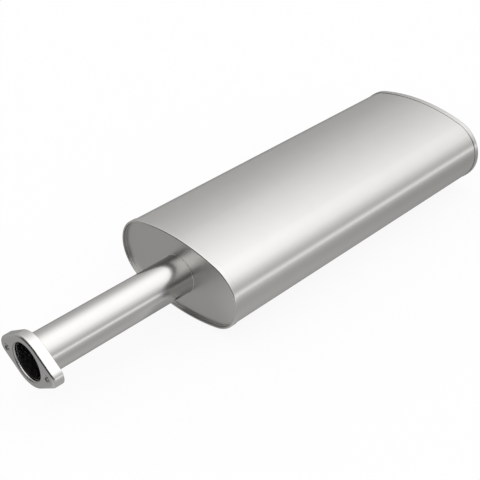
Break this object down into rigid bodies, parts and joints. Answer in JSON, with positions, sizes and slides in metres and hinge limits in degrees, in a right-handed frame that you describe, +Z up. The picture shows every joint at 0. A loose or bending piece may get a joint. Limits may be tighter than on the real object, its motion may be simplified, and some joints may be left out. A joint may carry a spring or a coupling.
{
  "type": "exhaust muffler",
  "caption": "Oval stainless steel exhaust muffler with recessed end caps, a long flanged inlet pipe and a plain outlet neck; baffles, perforated tubes and packing inside.",
  "frame": {"origin": "centre of the inlet flange's face, on the axis of the two pipes", "axes": "+Y along the gas flow from the inlet to the outlet, +Z up with the body lying flat, +X to the right seen from the inlet"},
  "size_m": [0.2302, 0.8235, 0.1225],
  "materials": {
    "shell": "satin stainless sheet",
    "end_cap": "satin stainless pressing",
    "pipe": "polished stainless tube",
    "flange": "satin machined stainless plate",
    "weld": "weld bead",
    "inner_sheet": "mill finish stainless sheet",
    "inner_tube": "mill finish stainless tube",
    "wire_mesh": "woven stainless wire",
    "glass_wool": "glass fibre mat"
  },
  "bodies": {
    "root": {"inlet_flange": "flange", "flange_weld": "weld", "inlet_pipe": "pipe", "front_cap": "end_cap", "shell": "shell", "inner_wrap": "inner_sheet", "rear_cap": "end_cap", "outlet_neck": "pipe", "front_baffle": "inner_sheet", "centre_baffle": "inner_sheet", "rear_baffle": "inner_sheet", "inlet_tube": "inner_tube", "outlet_tube": "inner_tube", "left_transfer_tube": "inner_tube", "right_transfer_tube": "inner_tube", "inlet_mesh": "wire_mesh", "outlet_mesh": "wire_mesh", "front_packing": "glass_wool", "rear_packing": "glass_wool"}
  },
  "joints": []
}
